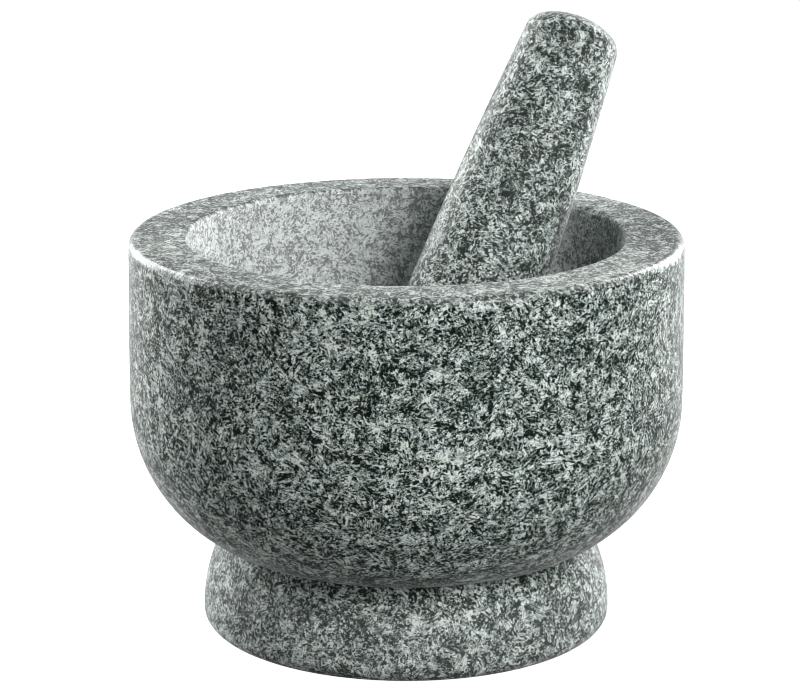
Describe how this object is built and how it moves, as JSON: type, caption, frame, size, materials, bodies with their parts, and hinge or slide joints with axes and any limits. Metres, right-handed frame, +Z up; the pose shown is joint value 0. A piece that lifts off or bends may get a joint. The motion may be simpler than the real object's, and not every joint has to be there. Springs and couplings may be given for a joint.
{
  "type": "mortar and pestle",
  "caption": "Footed round granite bowl with a thick flat rim and a deep rounded hollow, and a loose tapered granite pestle leaning in it, for crushing and grinding by hand.",
  "frame": {"origin": "centre of the mortar's flat underside, on the surface that it stands on", "axes": "+Z up along the bowl's axis; at rest the pestle leans towards +X and +Y"},
  "size_m": [0.181, 0.181, 0.1952],
  "materials": {
    "mortar_granite": "green-grey speckled granite, honed outside, ground dull inside the hollow and flat on the rim",
    "pestle_granite": "green-grey speckled granite, honed shaft, ground dull on the rounded lower end"
  },
  "bodies": {
    "mortar": {"mortar": "mortar_granite"},
    "pestle": {"pestle": "pestle_granite"}
  },
  "joints": [
    {"name": "pestle_lift", "type": "slide", "parent": "mortar", "child": "pestle", "axis": [0, 0, 1], "range_m": [0, 0.12]}
  ]
}
